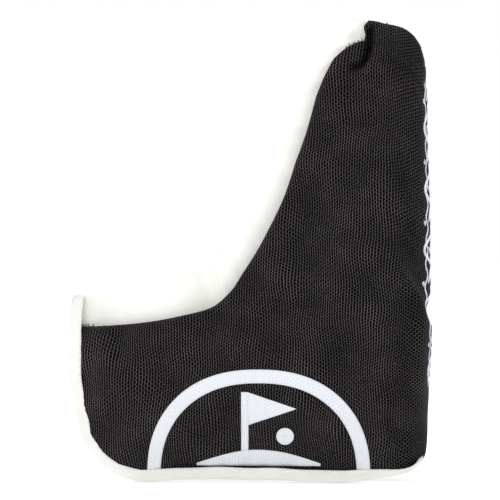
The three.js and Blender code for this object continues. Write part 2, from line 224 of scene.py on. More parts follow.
def add_mesh(name, points, faces, weave=None, weld=False):
    """An object with smooth faces. weave is the cloth's own coordinates, mm across and along its threads."""
    mesh = bpy.data.meshes.new(name)
    mesh.from_pydata(to_frame(points).tolist(), [], [list(map(int, f)) for f in faces])
    if weave is not None:
        own = mesh.attributes.new("weave", "FLOAT_VECTOR", "POINT")
        own.data.foreach_set("vector", np.c_[weave, np.zeros(len(weave))].astype(np.float32).ravel())
    if weld:
        bm = bmesh.new()
        bm.from_mesh(mesh)
        bmesh.ops.remove_doubles(bm, verts=bm.verts, dist=2e-6)
        bm.to_mesh(mesh)
        bm.free()
    mesh.polygons.foreach_set("use_smooth", [True] * len(mesh.polygons))
    piece = bpy.data.objects.new(name, mesh)
    bpy.context.scene.collection.objects.link(piece)
    return piece


def join_grids(name, grids):
    """One welded mesh from grids, each (points, weave, way), where the way is the one its faces turn."""
    points, weave, faces = [], [], []
    count = 0
    for at, own, way in grids:
        rows, cols = at.shape[:2]
        quads = grid_quads(rows, cols, count)
        faces.append(quads if np.sum(normals_of(at) * way) > 0 else quads[:, ::-1])
        points.append(at.reshape(-1, 3))
        weave.append(own.reshape(-1, 2))
        count += rows * cols
    return add_mesh(name, np.concatenate(points), np.concatenate(faces), np.concatenate(weave), weld=True)


def rims(rows, cols, second):
    """Quads that close two grids of the same shape, the second of which starts at that vertex."""
    index = np.arange(rows * cols).reshape(rows, cols)
    loop = np.concatenate([index[0], index[1:, -1], index[-1, -2::-1], index[-2:0:-1, 0]])
    after = np.roll(loop, -1)
    return np.stack([loop, loop + second, after + second, after], axis=1)


def slabs(name, layers):
    """Closed sheets, each between two grids: (near, far, weave), where near is the one that looks out."""
    points, weave, faces = [], [], []
    count = 0
    for near, far, own in layers:
        rows, cols = near.shape[:2]
        second = rows * cols
        sheet = np.concatenate([grid_quads(rows, cols), grid_quads(rows, cols, second)[:, ::-1]])
        sheet = np.concatenate([sheet, rims(rows, cols, second)])
        outwards = np.sum(normals_of(near) * (near - far)) > 0
        faces.append(count + (sheet if outwards else sheet[:, ::-1]))
        points += [near.reshape(-1, 3), far.reshape(-1, 3)]
        weave += [own.reshape(-1, 2)] * 2
        count += 2 * second
    return add_mesh(name, np.concatenate(points), np.concatenate(faces), np.concatenate(weave), weld=True)


def normals_of(at):
    """Unit normals of a grid of points, by the differences along its rows and columns."""
    return unit(np.cross(np.gradient(at, axis=1), np.gradient(at, axis=0)))


def normals_round(at):
    """Unit normals out of the cover, for a grid whose columns run from its front round to its back."""
    out = normals_of(at)
    return out * np.sign(np.sum(out[:, : at.shape[1] // 2, 1]) * FRONT)


# ---- The padded cloth, laid out as one grid a side ----

MOUTH_COLUMNS = 7
MAIN_COLUMNS = 46
SPINE_COLUMNS = 15
ROLL_ROWS = 6
ROW_STEP = 1.4
HINGE_COLUMN = MOUTH_COLUMNS + MAIN_COLUMNS - 1
TONGUE = 6  # columns of the back lining that reach under the front one at the hinge


def top_speed(v):
    """How far a point moves along the top of the neck's outline for each whole ray share."""
    return np.linalg.norm(patch(1, v) - patch(0.99, v), axis=-1) / 0.01


def row_shares():
    """Ray shares of the rows, about ROW_STEP apart at the longer end and closer at the top of the neck."""
    fine = np.linspace(SEAM_INSET / (RAY_SPACING * LAST_RAY), 1, 1500)
    steps = [np.linalg.norm(np.diff(through(line, fine), axis=0), axis=1) for line in (CREST, OUTER)]
    along = np.cumsum(np.maximum(*steps) * np.where(fine[1:] > 0.86, 2.2, 1))
    along = np.concatenate([[0], along])
    return np.interp(np.linspace(0, along[-1], int(along[-1] / ROW_STEP)), along, fine)


def ray_of(share, roll, v):
    """The ray through a grid point: rows are shares of the ray at which the top edge starts to roll over."""
    rolled = 1 - roll / top_speed(v)
    return np.where(share < 1, share * (1 - EDGE_ROLL / top_speed(v)), rolled)


def mouth_band(side, share):
    """Width of the white band that the mouth shows. In front it has a notch where the hem is gathered."""
    ray = share * LAST_RAY
    band = through(BAND, share) - 1.2 * (1 - smooth(3.5, 5.5, ray))
    if side == BACK:
        return band
    notch = np.interp(ray, [13.1, 13.9, 14.3, 14.5, 14.75, 15], [0, -1.1, 1.1, 5.4, 4.2, 1.7])
    return band + notch


def columns_of(side, share, roll):
    """Shares v of one row: the mouth's rolled edge, the panel as far as the hinge line, then the spine."""
    length = float(ray_length(share))
    edge = float(mouth_band(side, share))
    seam = 1 - SEAM_INSET / length * (1 - float(smooth(HEEL, HEEL + 0.5 / LAST_RAY, share)))
    fine = np.linspace(edge / length, seam, 160)
    x = patch(ray_of(share, roll, fine), fine)[:, 0]
    hinge = seam if x.max() <= HINGE_X else float(np.interp(HINGE_X, x, fine))
    turn = np.linspace(0, math.pi / 2, MOUTH_COLUMNS)
    mouth = (edge + EDGE_ROLL * (1 - np.cos(turn))) / length
    flat = np.linspace(mouth[-1], hinge, MAIN_COLUMNS + 1)[1:]
    spine = mix(hinge, seam, np.sin(np.linspace(0, math.pi / 2, SPINE_COLUMNS)))[1:]
    return np.concatenate([mouth, flat, spine]), edge / length, seam


def outer_point(side, share, u, v, v_end):
    """Points of the cloth's outside before it puffs."""
    xz = patch(u, v)
    x, z = xz[..., 0], xz[..., 1]
    end_x = patch(u, v_end)[..., 0]
    to_spine = np.where(share >= HEEL, end_x - x, spine_at(z) - x)
    from_crest = v * ray_length(u)
    depth = body_half(x, z) * rise(from_crest, narrowed(CREST_ROUND, u))
    depth = depth * rise(np.maximum(to_spine, 0), SPINE_ROUND)
    return np.stack([x, side * depth, z], axis=-1)


def thread_coordinates(side, x, z):
    """Millimetres across and along the cloth's threads: x on the flat of a panel, then round the spine."""
    spine = np.maximum(spine_at(z), x[:, -1:])
    whole = np.arccos(np.clip(1 - (spine - HINGE_X) / SPINE_ROUND, -1, 1))
    left = np.arccos(np.clip(1 - (spine - x) / SPINE_ROUND, -1, 1))
    round_it = np.where(x > HINGE_X, SPINE_ROUND * (whole - left), 0)
    if side == BACK:
        full = 2 * SPINE_ROUND * whole
        across = HINGE_X + np.where(x > HINGE_X, full - round_it, full + HINGE_X - x)
    else:
        across = np.where(x > HINGE_X, HINGE_X + round_it, x)
    slant = 0.42 * smooth(62, 100, z) * np.clip(across - HINGE_X, 0, 2 * SPINE_ROUND)
    return np.stack([across, z + slant], axis=-1)


def cloth_side(side, puff):
    """The grid of one side: its points, outward normals and what the layers under it need to know."""
    shares = row_shares()
    turn = np.linspace(0, math.pi / 2, ROLL_ROWS + 1)[1:]
    share = np.concatenate([shares, np.ones(ROLL_ROWS)])
    share[len(shares) - 1] = 1 - 1e-9
    roll = np.concatenate([np.zeros(len(shares)), EDGE_ROLL * (1 - np.sin(turn))])
    rows = [columns_of(side, s, r) for s, r in zip(share, roll)]
    v = np.array([row[0] for row in rows])
    v_edge, v_end = (np.array([row[k] for row in rows])[:, None] for k in (1, 2))
    share, roll = share[:, None], roll[:, None]
    u = ray_of(share, roll, v)
    length = ray_length(share)
    at = outer_point(side, share, u, v, v_end)
    x, z = at[..., 0], at[..., 2]
    out = outward(at, side, share)
    inward_share = (v - v_edge) / (v_end - v_edge)
    at = at + out * puff(side, share, inward_share, x, z)[..., None]
    from_mouth = (v - v_edge) * length
    from_top = (1 - u) * top_speed(v)
    from_top = np.where(share < 1, np.maximum(from_top, EDGE_ROLL), roll)
    above_seam = z - np.interp(x, *np.transpose(OUTER[: HEEL_RAY + 1])) - SEAM_INSET
    toe = share * LAST_RAY * RAY_SPACING
    taper = mix(0.16, 1, smooth(0, 10, above_seam) * smooth(0, 11, toe))
    half_turn = rise(from_mouth, EDGE_ROLL) * rise(from_top, EDGE_ROLL)
    return {
        "at": at, "out": out, "half_turn": half_turn, "taper": taper,
        "from_mouth": from_mouth, "from_top": from_top,
        "weave": thread_coordinates(side, x, z),
    }


def outward(at, side, share):
    out = normals_of(at)
    if np.sum(out[..., 1]) * side < 0:
        out = -out
    for column in range(HINGE_COLUMN + 1, out.shape[1]):
        folded = np.linalg.norm(out[:, column], axis=1, keepdims=True) < 0.5
        out[:, column] = np.where(folded, out[:, column - 1], out[:, column])
    spine_end = out[:, -1] * (1, 0, 1)
    out[:, -1] = np.where(share >= HEEL, unit(spine_end), out[:, -1])
    return out


def set_in(base, depth, rows=slice(None), cols=slice(None)):
    """A stretch of a base grid, set in along its normals by depth millimetres."""
    depth = np.broadcast_to(depth, base["taper"].shape)
    return (base["at"] - base["out"] * depth[..., None])[rows, cols]


# ---- How the cloth puffs, gathers and creases ----

SETTLE_FRAMES = 20
SETTLE_ROWS_EVERY = 4
SETTLE_COLUMNS = 15
PUFF_CAP = 1.7
PINCH = [(47.2, 175), (47, 170.5), (46, 166), (44.2, 162), (40.5, 160.2)]
PINCH_DEPTH = [5, 6.2, 6.2, 5.6, 3]


def settle(name, at, pin, excess, pressure):
    """How far each point moves when a grid in mm, a little too large for its pins, settles as cloth."""
    rows, cols = at.shape[:2]
    jitter = RANDOM.normal(0, 0.05, at.shape)
    piece = add_mesh(name, (at + jitter).reshape(-1, 3), grid_quads(rows, cols))
    group = piece.vertex_groups.new(name="pin")
    for index, weight in enumerate(pin.ravel()):
        group.add([index], float(weight), "REPLACE")
    cloth = piece.modifiers.new("cloth", "CLOTH")
    cloth.settings.vertex_group_mass = group.name
    cloth.settings.quality = 6
    cloth.settings.mass = 0.15
    cloth.settings.tension_stiffness = cloth.settings.compression_stiffness = 20
    cloth.settings.shear_stiffness = 8
    cloth.settings.bending_stiffness = 0.3
    cloth.settings.shrink_min = -excess
    cloth.settings.use_pressure = True
    cloth.settings.uniform_pressure_force = pressure
    cloth.settings.effector_weights.gravity = 0
    cloth.collision_settings.use_collision = False
    cloth.point_cache.frame_end = SETTLE_FRAMES
    scene = bpy.context.scene
    for step in range(1, SETTLE_FRAMES + 1):
        scene.frame_set(step)
    settled = piece.evaluated_get(bpy.context.evaluated_depsgraph_get()).data
    found = np.empty(rows * cols * 3, np.float32)
    settled.vertices.foreach_get("co", found)
    bpy.data.objects.remove(piece)
    scene.frame_set(1)
    return found.reshape(at.shape) / MM + (0, 0, POCKET_FLOOR) - at


def cloth_puff():
    """How far the padded cloth stands out of its plain shape, as a function of the place on a side's grid."""
    shares = row_shares()[::SETTLE_ROWS_EVERY]
    if shares[-1] < 1:
        shares = np.append(shares, 1)
    inward_share = np.linspace(0, 1, SETTLE_COLUMNS)
    halves = []
    for side in (FRONT, BACK):
        edge = mouth_band(side, shares) / ray_length(shares)
        v = mix(edge[:, None], 1, inward_share)
        u = np.broadcast_to(shares[:, None], v.shape)
        halves.append(outer_point(side, shares[:, None], u, v, np.ones_like(v)))
    at = np.concatenate([halves[0], halves[1][:, -2::-1]], axis=1)
    at[:, SETTLE_COLUMNS - 1, 1] = 0
    pin = np.zeros(at.shape[:2])
    pin[:, [0, -1]] = 1
    pin[0] = 1
    pin[-1] = 0.9
    pin[:, SETTLE_COLUMNS - 1] = mix(1, 0.6, smooth(HEEL, HEEL + 0.15, shares))
    moved = settle("cloth_settling", at, pin, excess=0.02, pressure=3)
    height = np.sum(moved * normals_round(at), axis=-1)
    height = PUFF_CAP * np.tanh(height / PUFF_CAP)
    fields = {FRONT: height[:, :SETTLE_COLUMNS], BACK: height[:, :SETTLE_COLUMNS - 2:-1]}

    def puff(side, share, across, x, z):
        row = np.interp(np.minimum(share, shares[-4]), shares, np.linspace(0, 1, len(shares)))
        along = through(fields[side], row[:, 0]) * mix(1, 0.5, smooth(0.92, 1, share))
        settled = np.stack([through(line, place) for line, place in zip(along, across)])
        return settled + sewn_shape(side, x, z)

    return puff


def sewn_shape(side, x, z):
    """Puckers along the binding, pleats under the elastic and, in front, the pinch at the top of the neck."""
    above_sole = z - sole_at(x)
    pucker = 0.22 * np.sin(x / 1.6 + 2 * np.sin(x / 9)) * (1 - smooth(5, 15, above_sole))
    pleat = 0.28 * np.sin(x / 1.05 + np.sin(x / 5)) * smooth(164, 178, z) * (1 - smooth(61, 66, x))
    shape = pucker + pleat
    if side == BACK:
        return shape - 0.8 * np.exp(-(((x - 36) / 6) ** 2) - ((z - 140) / 10) ** 2)
    share = np.linspace(0, 1, 70)
    line = through(PINCH, share)
    gap = np.linalg.norm(np.stack([x, z], axis=-1)[..., None, :] - line, axis=-1)
    nearest = np.argmin(gap, axis=-1)
    gap = np.min(gap, axis=-1)
    depth = through(PINCH_DEPTH, share)[nearest]
    pinch = -depth * np.exp(-((gap / 1.25) ** 2)) + 0.24 * depth * np.exp(-(((gap - 3.8) / 1.8) ** 2))
    fold = -0.7 * smooth(50.3, 51.8, x) * (1 - smooth(60, 66, x)) * smooth(159, 166, z)
    dimple = -1.3 * np.exp(-(((x - 38) / 4) ** 2) - ((z - 147) / 6) ** 2)
    hollow = -1.0 * np.exp(-(((x - 31) / 7) ** 2) - ((z - 128) / 12) ** 2)
    return shape + pinch + fold + dimple + hollow


# ---- The pieces of the padded cloth ----


def bend_with_flap(piece):
    """A front piece keeps its drawn place, with its placing baked into its mesh."""
    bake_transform(piece)


def panels():
    """The front as far as the hinge line, and the rest: a tongue under the front, the spine and the back."""
    puff = cloth_puff()
    front, back = cloth_side(FRONT, puff), cloth_side(BACK, puff)
    front_panel = {key: value[:, : HINGE_COLUMN + 1] for key, value in front.items()}
    back_panel = {
        key: np.concatenate([front[key][:, HINGE_COLUMN - TONGUE :], back[key][:, ::-1]], axis=1)
        for key in front
    }
    return front_panel, back_panel


def stretch(base, depth, rows, cols, way):
    """Part of a panel at a depth, for join_grids, facing outwards for way 1 and inwards for way -1."""
    return set_in(base, depth, rows, cols), base["weave"][rows, cols], way * base["out"][rows, cols]


def outside_of(base, cols=slice(None)):
    """The cloth's outside, rolled in at the mouth and at the top of the neck."""
    return set_in(base, EDGE_ROLL * base["taper"] * (1 - base["half_turn"]), slice(None), cols)


def thicken(piece, name, millimetres):
    """Thickness inwards from a piece's outside."""
    thickness = piece.modifiers.new(name, "SOLIDIFY")
    thickness.thickness = millimetres * MM
    thickness.offset = -1


def dress(piece, material):
    piece.data.materials.append(material)


def row_below_top(base, distance):
    return int(np.argmax(base["from_top"][:, base["from_top"].shape[1] // 2] < distance))


def woven_piece(name, base, cols, turned, material):
    """Cloth over one panel: its outside, the hem down inside the neck and the turned edge at the mouth."""
    depth = EDGE_ROLL * base["taper"]
    under = depth * (1 + base["half_turn"])
    hem = row_below_top(base, HEM)
    piece = join_grids(name, [
        stretch(base, depth * (1 - base["half_turn"]), slice(None), cols, 1),
        stretch(base, under, slice(hem, None), cols, -1),
        stretch(base, under, slice(0, hem + 1), turned, -1),
    ])
    thicken(piece, "cloth_thickness", CLOTH)
    dress(piece, material)
    return piece


def layer_piece(name, base, near, far, rows, cols, material):
    """A closed layer between two depths under the cloth's outside."""
    layer = (set_in(base, near, rows, cols), set_in(base, far, rows, cols), base["weave"][rows, cols])
    piece = slabs(name, [layer])
    dress(piece, material)
    return piece


def padded_cloth(front, back, looks):
    """Cloth, foam, fleece and elastic of both panels. The front ones have their placing baked into their
    meshes; the back ones are attached to the root.
    """
    edge = MOUTH_COLUMNS + 3
    last = back["taper"].shape[1]
    cloth = looks["cloth"]
    woven_front = woven_piece("woven_front", front, slice(None), slice(0, edge), cloth)
    woven_back = woven_piece("woven_back", back, slice(TONGUE, None), slice(last - edge, None), cloth)
    hem = row_below_top(front, HEM)
    inner = slice(0, hem + 3)
    pad = slice(0, row_below_top(front, HEM + 1))
    tongue = np.zeros(back["taper"].shape)
    tongue[:, :TONGUE] = 0.9
    inside = {"front": (front, slice(edge - 2, None), 0), "back": (back, slice(0, last - edge + 2), tongue)}
    made = {}
    for place, (base, cols, extra) in inside.items():
        deep = THICK * base["taper"] + extra
        made["fleece_" + place] = layer_piece(
            "fleece_" + place, base, deep - PILE / 2, deep + PILE / 2, inner, cols, looks["fleece"])
    for place, base, cols in (
        ("front", front, slice(MOUTH_COLUMNS, None)),
        ("back", back, slice(TONGUE, last - MOUTH_COLUMNS)),
    ):
        deep = THICK * base["taper"]
        made["foam_" + place] = layer_piece(
            "foam_" + place, base, 0.24 * deep, 0.86 * deep, pad, cols, looks["foam"])
        band = slice(row_below_top(base, 8), row_below_top(base, 3.4))
        made["elastic_" + place] = layer_piece(
            "elastic_" + place, base, EDGE_ROLL - 0.7, EDGE_ROLL + 0.7, band, cols,
            looks["elastic"])
    for piece in (woven_front, made["fleece_front"], made["foam_front"], made["elastic_front"]):
        bend_with_flap(piece)
    for piece in (woven_back, made["fleece_back"], made["foam_back"], made["elastic_back"]):
        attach(piece, "root")
    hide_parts("flap_cloth")
    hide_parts("outer_cloth")
    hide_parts("flap_lining")
    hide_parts("fleece_lining")
    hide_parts("flap_pad", "front_foot_pad")
    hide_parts("back_pad", "spine_pad")
    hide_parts("flap_elastic")
    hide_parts("neck_elastic")


# ---- The white strip that closes the mouth ----

STRIP_UNDER = 6.96  # from the cloth's outside to the strip's
STRIP_SPINE = 9.1
STRIP_START, STRIP_END = 0.004, 0.997  # ray shares at the toe and at the top of the neck
STRIP_END_REACH = 13.5  # how far the strip reaches in at the toe
INNER_CORNER_RAY = 5


def strip_point(side, u, v):
    xz = patch(u, v)
    x, z = xz[..., 0], xz[..., 1]
    under = mix(2.2, STRIP_UNDER, smooth(-69, -57, x))
    body = np.maximum(body_half(x, z) - under, 2.3)
    to_spine = np.maximum(spine_at(z) - STRIP_SPINE - x, 0)
    depth = body * rise(v * ray_length(u), narrowed(STRIP_ROUND, u))
    depth = depth * rise(to_spine, SPINE_ROUND - STRIP_SPINE)
    return np.stack([x, side * depth, z], axis=-1)


def strip_grid(u, flat_columns, round_columns):
    """Rows along the crest; columns from the tucked front edge over the crest to the sewn back edge."""
    u = u[:, None]
    length = ray_length(u)
    dome = STRIP_ROUND * np.minimum(through(BAND, u) / BAND[0], 1) / length
    from_toe = smooth(0.03, 0.13, u)
    reach_front = mix(STRIP_END_REACH / length, np.minimum(TUCK / length, 0.5), from_toe)
    reach_back = mix(STRIP_END_REACH / length, np.minimum(SEWN / length, 0.31), from_toe)
    arc = 1 - np.cos(np.linspace(0, math.pi / 2, round_columns))
    sides = []
    for side, reach in ((FRONT, reach_front), (BACK, reach_back)):
        flat = mix(dome, np.maximum(reach, dome * 1.05), np.linspace(0, 1, flat_columns + 1)[1:])
        v = np.concatenate([dome * arc, flat], axis=1)
        below_hem = 1 - 0.024 * smooth(1.2 * dome, 1.2 * dome + 0.12, v)
        sides.append(strip_point(side, u * below_hem, v))
    return np.concatenate([sides[0][:, ::-1], sides[1][:, 1:]], axis=1)


def strip_wrinkles(u, at):
    """The strip buckles softly, more where it bends from the foot into the neck."""
    coarse_u = np.linspace(STRIP_START, STRIP_END, 72)
    coarse = strip_grid(coarse_u, 4, 5)
    pin = np.zeros(coarse.shape[:2])
    pin[:, [0, 1, -2, -1]] = 1
    pin[[0, -1]] = 1
    moved = settle("strip_settling", coarse, pin, excess=0.035, pressure=1.5)
    height = 0.5 * np.tanh(np.sum(moved * normals_round(coarse), axis=-1) / 1.5)
    height = through(height, (u - coarse_u[0]) / (coarse_u[-1] - coarse_u[0]))
    height = np.stack([through(line, np.linspace(0, 1, at.shape[1])) for line in height])
    ray = (u * LAST_RAY)[:, None]
    across = np.linspace(-1, 1, at.shape[1])
    valley = -2.3 * np.exp(-(((ray - INNER_CORNER_RAY) / 0.4) ** 2)) * (1 - 0.5 * across**2)
    swell = 0.9 * np.exp(-(((ray - INNER_CORNER_RAY + 1.1) / 0.7) ** 2))
    swell = swell + 0.5 * np.exp(-(((ray - INNER_CORNER_RAY - 0.9) / 0.4) ** 2))
    fine = 0.12 * np.sin(ray * 9 + 2 * np.sin(ray * 2.3) + across * 3) * smooth(-0.5, 0.5, across**2)
    edge = np.minimum(smooth(0, 0.02, u), 1 - smooth(STRIP_END - 0.01, STRIP_END, u))[:, None]
    return (height + (valley + swell + fine) * (1 - across**4)) * edge


def white_strip(looks):
    u = np.linspace(STRIP_START, STRIP_END, 210)
    at = strip_grid(u, 12, 14)
    at = at + normals_round(at) * strip_wrinkles(u, at)[..., None]
    out = normals_round(at)
    weave = at[..., [0, 2]]
    skin = slabs("white_strip", [(at, at - out * STRIP_THICK, weave)])
    dress(skin, looks["strip"])
    inner = (slice(28, 196), slice(2, -2))
    lining = slabs("strip_fleece", [((at - out * 1.6)[inner], (at - out * 2.6)[inner], weave[inner])])
    dress(lining, looks["fleece"])
    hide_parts("closing_strip")
    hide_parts("closing_strip_lining")
    for piece in (skin, lining):
        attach(piece, "root")


# ---- Binding along toe and sole ----

BINDING_END = (HEEL_RAY + 0.26) / LAST_RAY
STITCH_PITCH = 2.9
TAPE_NOSE = 0.9  # how far the tape's rounded outer edge reaches in
TAPE_THICK, TAPE_LIFT = 0.7, 1.3
TAPE_CORNER = 2.6  # radius of the tape's end at the toe


def binding_path():
    """Points (x, z) along the edge from the top of the toe to the heel, the way in and how far along."""
    toe = through(TOE_EDGE, np.linspace(0.005, 1, 60))
    sole = through(OUTER, np.linspace(0, BINDING_END, 160))[1:]
    line = np.concatenate([toe, sole])
    along = travelled(line)
    even = np.linspace(0, along[-1], int(along[-1] / 0.72))
    line = sampled(even, along, line)
    for _ in range(4):
        line[1:-1] = (line[:-2] + 2 * line[1:-1] + line[2:]) / 4
    tangent = unit(np.gradient(line, axis=0))
    return line, np.stack([-tangent[:, 1], tangent[:, 0]], axis=1), even


def edge_depth(x, z):
    crest_z = np.interp(x, [p[0] for p in CREST[:5]], [p[1] for p in CREST[:5]])
    mouth = np.where(x < -40, rise(np.maximum(crest_z - z, 0) + 1.2, CREST_ROUND), 1)
    return body_half(x, z) * mouth * rise(np.maximum(spine_at(z) - x, 0), SPINE_ROUND)


def binding(looks):
    line, inward, along = binding_path()
    total = along[-1]
    waver = 0.16 * np.sin(along / 7) + 0.12 * np.sin(along / 3.1 + 1)
    narrow = mix(0.25, 1, smooth(0, 34, total - along)) * smooth(-1.5, 5, total - along)
    ends = rise(np.minimum(along, 2 * (total - along)), 2.2)
    corner = TAPE_CORNER * (1 - rise(along, TAPE_CORNER))
    width = BINDING * narrow
    nose = np.linspace(-math.pi / 2, math.pi / 2, 11)
    leg = np.array([1, 0.97, 0.93, 0.86, 0.78, 0.66, 0.5, 0.34, 0.2])
    stitch = 0.2 * (0.5 + 0.5 * np.cos(2 * math.pi * along / STITCH_PITCH))
    columns = []
    for side, shares in ((FRONT, leg), (BACK, leg[::-1])):
        for share in shares:
            inset = TAPE_NOSE + (width - TAPE_NOSE) * share
            at = line + inward * (np.maximum(inset, TAPE_NOSE + corner) + waver)[:, None]
            lift = TAPE_LIFT * math.sqrt(max(1 - share**8, 0)) + 0.1
            lift = lift - stitch * math.exp(-(((share - 0.78) / 0.12) ** 2))
            depth = (edge_depth(at[:, 0], at[:, 1]) + lift) * ends
            columns.append(np.stack([at[:, 0], side * depth, at[:, 1]], axis=1))
        if side == FRONT:
            for angle in nose[1:-1]:
                inset = TAPE_NOSE - TAPE_NOSE * math.cos(angle) + corner + waver
                at = line + inward * inset[:, None]
                at_spine = rise(spine_at(at[:, 1]) - at[:, 0] + 1, SPINE_ROUND)
                depth = (SEAM_HALF + 1.5) * math.sin(angle) * ends * at_spine
                columns.append(np.stack([at[:, 0], depth, at[:, 1]], axis=1))
    at = np.stack(columns, axis=1)
    inside = line + inward * (width / 2)[:, None]
    inside = np.stack([inside[:, 0], np.zeros(len(line)), inside[:, 1]], axis=1)[:, None]
    tape = join_grids("binding_tape", [(at, at[..., [0, 2]], at - inside)])
    thicken(tape, "tape_thickness", TAPE_THICK)
    dress(tape, looks["binding"])
    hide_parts("edge_binding")
    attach(tape, "root")
    marks = np.arange(STITCH_PITCH * 1.5, total - 10, STITCH_PITCH)
    rows = np.searchsorted(along, marks)
    places = []
    for column, side in ((4, FRONT), (at.shape[1] - 5, BACK)):
        turn = unit(at[rows + 1, column] - at[rows - 1, column])
        places += [(p, t, np.array([0, side, 0])) for p, t in zip(at[rows, column], turn)]
    sew("binding_stitches", places, 2, 0.24, looks["white_thread"], "root")


# ---- Thread: stitches, embroidery and frayed ends ----


def tube(points, radius, sides=6):
    """Rings of points round a line, thinner at both ends, with the faces that join and close them."""
    points = np.asarray(points, float)
    tangent = unit(np.gradient(points, axis=0))
    helper = np.array([0.31, 0.17, 0.93])
    one = unit(np.cross(tangent, helper))
    two = np.cross(tangent, one)
    angle = np.linspace(0, 2 * math.pi, sides, endpoint=False)
    width = np.full(len(points), radius)
    width[[0, -1]] *= 0.35
    ring = np.cos(angle)[None, :, None] * one[:, None] + np.sin(angle)[None, :, None] * two[:, None]
    at = points[:, None] + ring * width[:, None, None]
    index = np.arange(len(points) * sides).reshape(len(points), sides)
    after = np.roll(index, -1, axis=1)
    faces = np.stack([index[:-1], after[:-1], after[1:], index[1:]], axis=-1).reshape(-1, 4).tolist()
    faces += [index[0, ::-1].tolist(), index[-1].tolist()]
    return at.reshape(-1, 3), faces


def threads(name, lines, radius, material, body, sides=6):
    """One piece from many short threads."""
    points, faces = [], []
    count = 0
    for line in lines:
        at, around = tube(line, radius, sides)
        points.append(at)
        faces += [[k + count for k in face] for face in around]
        count += len(at)
    points = np.concatenate(points)
    piece = add_mesh(name, points, faces, points[:, [0, 2]])
    dress(piece, material)
    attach(piece, body)
    return piece


def sew(name, places, length, radius, material, body):
    """A row of stitches, each at a place: a point, the seam's direction and the way out."""
    share = np.linspace(-0.5, 0.5, 5)[:, None]
    dip = 0.35 * (2 * np.abs(share)) ** 2.5
    lines = [point + way * length * share + out * (0.1 - dip) for point, way, out in places]
    return threads(name, lines, radius, material, body)


def along_seam(base, rows, cols, pitch):
    """Places for sew() at even steps along one row or column of a panel."""
    line, out = base["at"][rows, cols], base["out"][rows, cols]
    along = travelled(line)
    marks = np.arange(pitch, along[-1] - pitch, pitch)
    fields = (line, np.gradient(line, along, axis=0), out)
    point, way, normal = (sampled(marks, along, field) for field in fields)
    return list(zip(point, unit(way), unit(normal)))


def seam_stitches(back, looks):
    """Dark rows on the back panel, below its hem and beside its edge at the mouth."""
    hem = row_below_top(back, HEM - 1.5)
    mouth = back["at"].shape[1] - MOUTH_COLUMNS - 2
    spine = slice(TONGUE + SPINE_COLUMNS, mouth)
    rows = along_seam(back, hem, spine, 2.6) + along_seam(back, slice(8, hem), mouth, 2.6)
    sew("hem_stitches_back", rows, 1.8, 0.17, looks["dark_thread"], "root")


def surface_of(base, cols):
    """A ray target for the outside of a panel, in drawn millimetres."""
    at = outside_of(base, cols)
    return BVHTree.FromPolygons(at.reshape(-1, 3).tolist(), grid_quads(*at.shape[:2]).tolist())


def on_panel(surface, x, z):
    """Where a line from in front meets the panel, and the way out there."""
    way = -direction(PRINT_TURN, 0)
    hit, normal, _, _ = surface.ray_cast(Vector((x, 0, z)) - way * 60, way)
    return np.array(hit), np.array(normal) * (1 if normal.y < 0 else -1)


def on_spine(surface, arc, z):
    """Where a line towards the neck's middle meets the spine, arc millimetres in front of its far edge."""
    angle = arc / SPINE_ROUND
    way = Vector((-math.cos(angle), math.sin(angle), 0))
    middle = Vector((HINGE_X, 0, z))
    hit, normal, _, _ = surface.ray_cast(middle - way * 60, way)
    return np.array(hit), np.array(normal) * (1 if normal.dot(way) < 0 else -1)


WAVE_FROM, WAVE_TO, WAVES = 38, 155, 5
WAVE_SWAY, WAVE_WIDTH = 7.3, 1.6
SATIN_PITCH = 0.36


def satin(surface, strokes, fullness):
    """Threads laid over the spine, each stroke given by its two ends as (arc, z)."""
    lines = []
    for start, end in strokes:
        share = np.linspace(0, 1, 6)[:, None]
        flat = mix(np.array(start), np.array(end), share)
        found = [on_spine(surface, arc, z) for arc, z in flat]
        bulge = fullness * np.sqrt(np.maximum(1 - (2 * share - 1) ** 2, 0))
        lines.append(np.array([f[0] for f in found]) + np.array([f[1] for f in found]) * (bulge + 0.02))
    return lines


def leaf(centre, lean, length, width):
    """Strokes that fill a leaf, across its own axis."""
    axis = np.array([math.sin(lean), math.cos(lean)])
    across = np.array([axis[1], -axis[0]])
    strokes = []
    for t in np.linspace(-0.94, 0.94, int(length / SATIN_PITCH)):
        middle = np.array(centre) + axis * t * length / 2
        half = across * width / 2 * (1 - t * t) ** 0.75 + axis * 0.25
        strokes.append((middle - half, middle + half))
    return strokes


def wave(middle, sway, waves, width):
    """Strokes across a line that winds up the spine, thinner at its ends."""
    z = np.linspace(WAVE_FROM, WAVE_TO, 2400)
    turns = 2 * math.pi * waves * (z - WAVE_FROM) / (WAVE_TO - WAVE_FROM)
    line = np.stack([middle + sway * np.sin(turns), z], axis=1)
    along = travelled(line)
    marks = np.arange(0, along[-1], SATIN_PITCH)
    line = sampled(marks, along, line)
    way = unit(np.gradient(line, axis=0))
    across = np.stack([way[:, 1], -way[:, 0]], axis=1) + 0.35 * way
    half = width / 2 * rise(np.minimum(marks, marks[-1] - marks) + 0.4, 6)[:, None]
    return list(zip(line - across * half, line + across * half))


